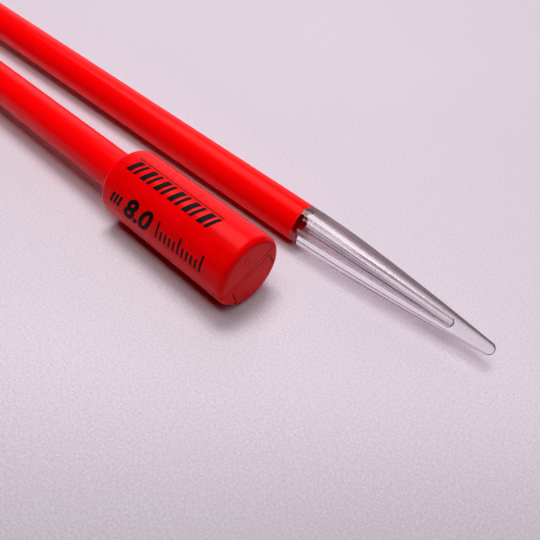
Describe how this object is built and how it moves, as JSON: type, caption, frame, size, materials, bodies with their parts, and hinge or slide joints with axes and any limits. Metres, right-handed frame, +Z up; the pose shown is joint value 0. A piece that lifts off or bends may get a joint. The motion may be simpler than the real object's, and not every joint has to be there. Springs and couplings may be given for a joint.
{
  "type": "lighted knitting needle",
  "caption": "Straight hollow knitting needles with a clear tapered tip lit from inside and a round battery cap that twists to switch the light.",
  "frame": {"origin": "centre of the bounding box's bottom face, on the surface that the pair lies on", "axes": "+X along the first needle towards its point, +Z up; the second needle lies beside it towards -Y, pointing the other way"},
  "size_m": [0.3928, 0.034, 0.0143],
  "materials": {
    "red_plastic": "moulded and drawn red plastic with a soft gloss",
    "clear_plastic": "clear polished plastic",
    "lamp_epoxy": "water-clear epoxy of the lamp",
    "white_nylon": "natural white nylon",
    "red_insulation": "red wire insulation",
    "black_insulation": "black wire insulation",
    "tinned_steel": "bright tinned steel",
    "plated_brass": "plated contact brass",
    "cell_steel": "nickel-plated cell can"
  },
  "bodies": {
    "needle_1": {"shaft_tube_1": "red_plastic", "clear_tip_1": "clear_plastic", "led_lens_1": "lamp_epoxy", "led_anode_lead_1": "tinned_steel", "led_cathode_lead_1": "tinned_steel", "led_holder_1": "white_nylon", "positive_wire_1": "red_insulation", "negative_wire_1": "black_insulation", "positive_joint_sleeve_1": "red_insulation", "negative_joint_sleeve_1": "black_insulation", "switch_plug_1": "white_nylon", "centre_contact_1": "plated_brass", "arc_contact_1": "plated_brass"},
    "cap_1": {"cap_upper_shell_1": "red_plastic", "cap_lower_shell_1": "red_plastic", "bulkhead_1": "white_nylon", "positive_contact_1": "plated_brass", "negative_contact_1": "plated_brass", "contact_spring_1": "tinned_steel", "button_cell_a_1": "cell_steel", "button_cell_b_1": "cell_steel", "button_cell_c_1": "cell_steel"},
    "door_1": {"battery_door_1": "red_plastic"},
    "needle_2": {"shaft_tube_2": "red_plastic", "clear_tip_2": "clear_plastic", "led_lens_2": "lamp_epoxy", "led_anode_lead_2": "tinned_steel", "led_cathode_lead_2": "tinned_steel", "led_holder_2": "white_nylon", "positive_wire_2": "red_insulation", "negative_wire_2": "black_insulation", "positive_joint_sleeve_2": "red_insulation", "negative_joint_sleeve_2": "black_insulation", "switch_plug_2": "white_nylon", "centre_contact_2": "plated_brass", "arc_contact_2": "plated_brass"},
    "cap_2": {"cap_upper_shell_2": "red_plastic", "cap_lower_shell_2": "red_plastic", "bulkhead_2": "white_nylon", "positive_contact_2": "plated_brass", "negative_contact_2": "plated_brass", "contact_spring_2": "tinned_steel", "button_cell_a_2": "cell_steel", "button_cell_b_2": "cell_steel", "button_cell_c_2": "cell_steel"},
    "door_2": {"battery_door_2": "red_plastic"}
  },
  "joints": [
    {"name": "cap_twist_1", "type": "hinge", "parent": "needle_1", "child": "cap_1", "pos_m": [-0.13715, 0.00998, 0.0071], "axis": [0.9999, 0, -0.0105], "range_deg": [0, 90]},
    {"name": "door_slide_1", "type": "slide", "parent": "cap_1", "child": "door_1", "axis": [-0.9999, 0, 0.0105], "range_m": [0, 0.026]},
    {"name": "cap_twist_2", "type": "hinge", "parent": "needle_2", "child": "cap_2", "pos_m": [0.13704, -0.00944, 0.0071], "axis": [-0.9996, 0.0262, -0.0105], "range_deg": [0, 90]},
    {"name": "door_slide_2", "type": "slide", "parent": "cap_2", "child": "door_2", "axis": [0.9996, -0.0262, 0.0105], "range_m": [0, 0.026]},
    {"name": "needle_2_lift", "type": "slide", "parent": "needle_1", "child": "needle_2", "axis": [0, 0, 1], "range_m": [0, 0.08]}
  ]
}
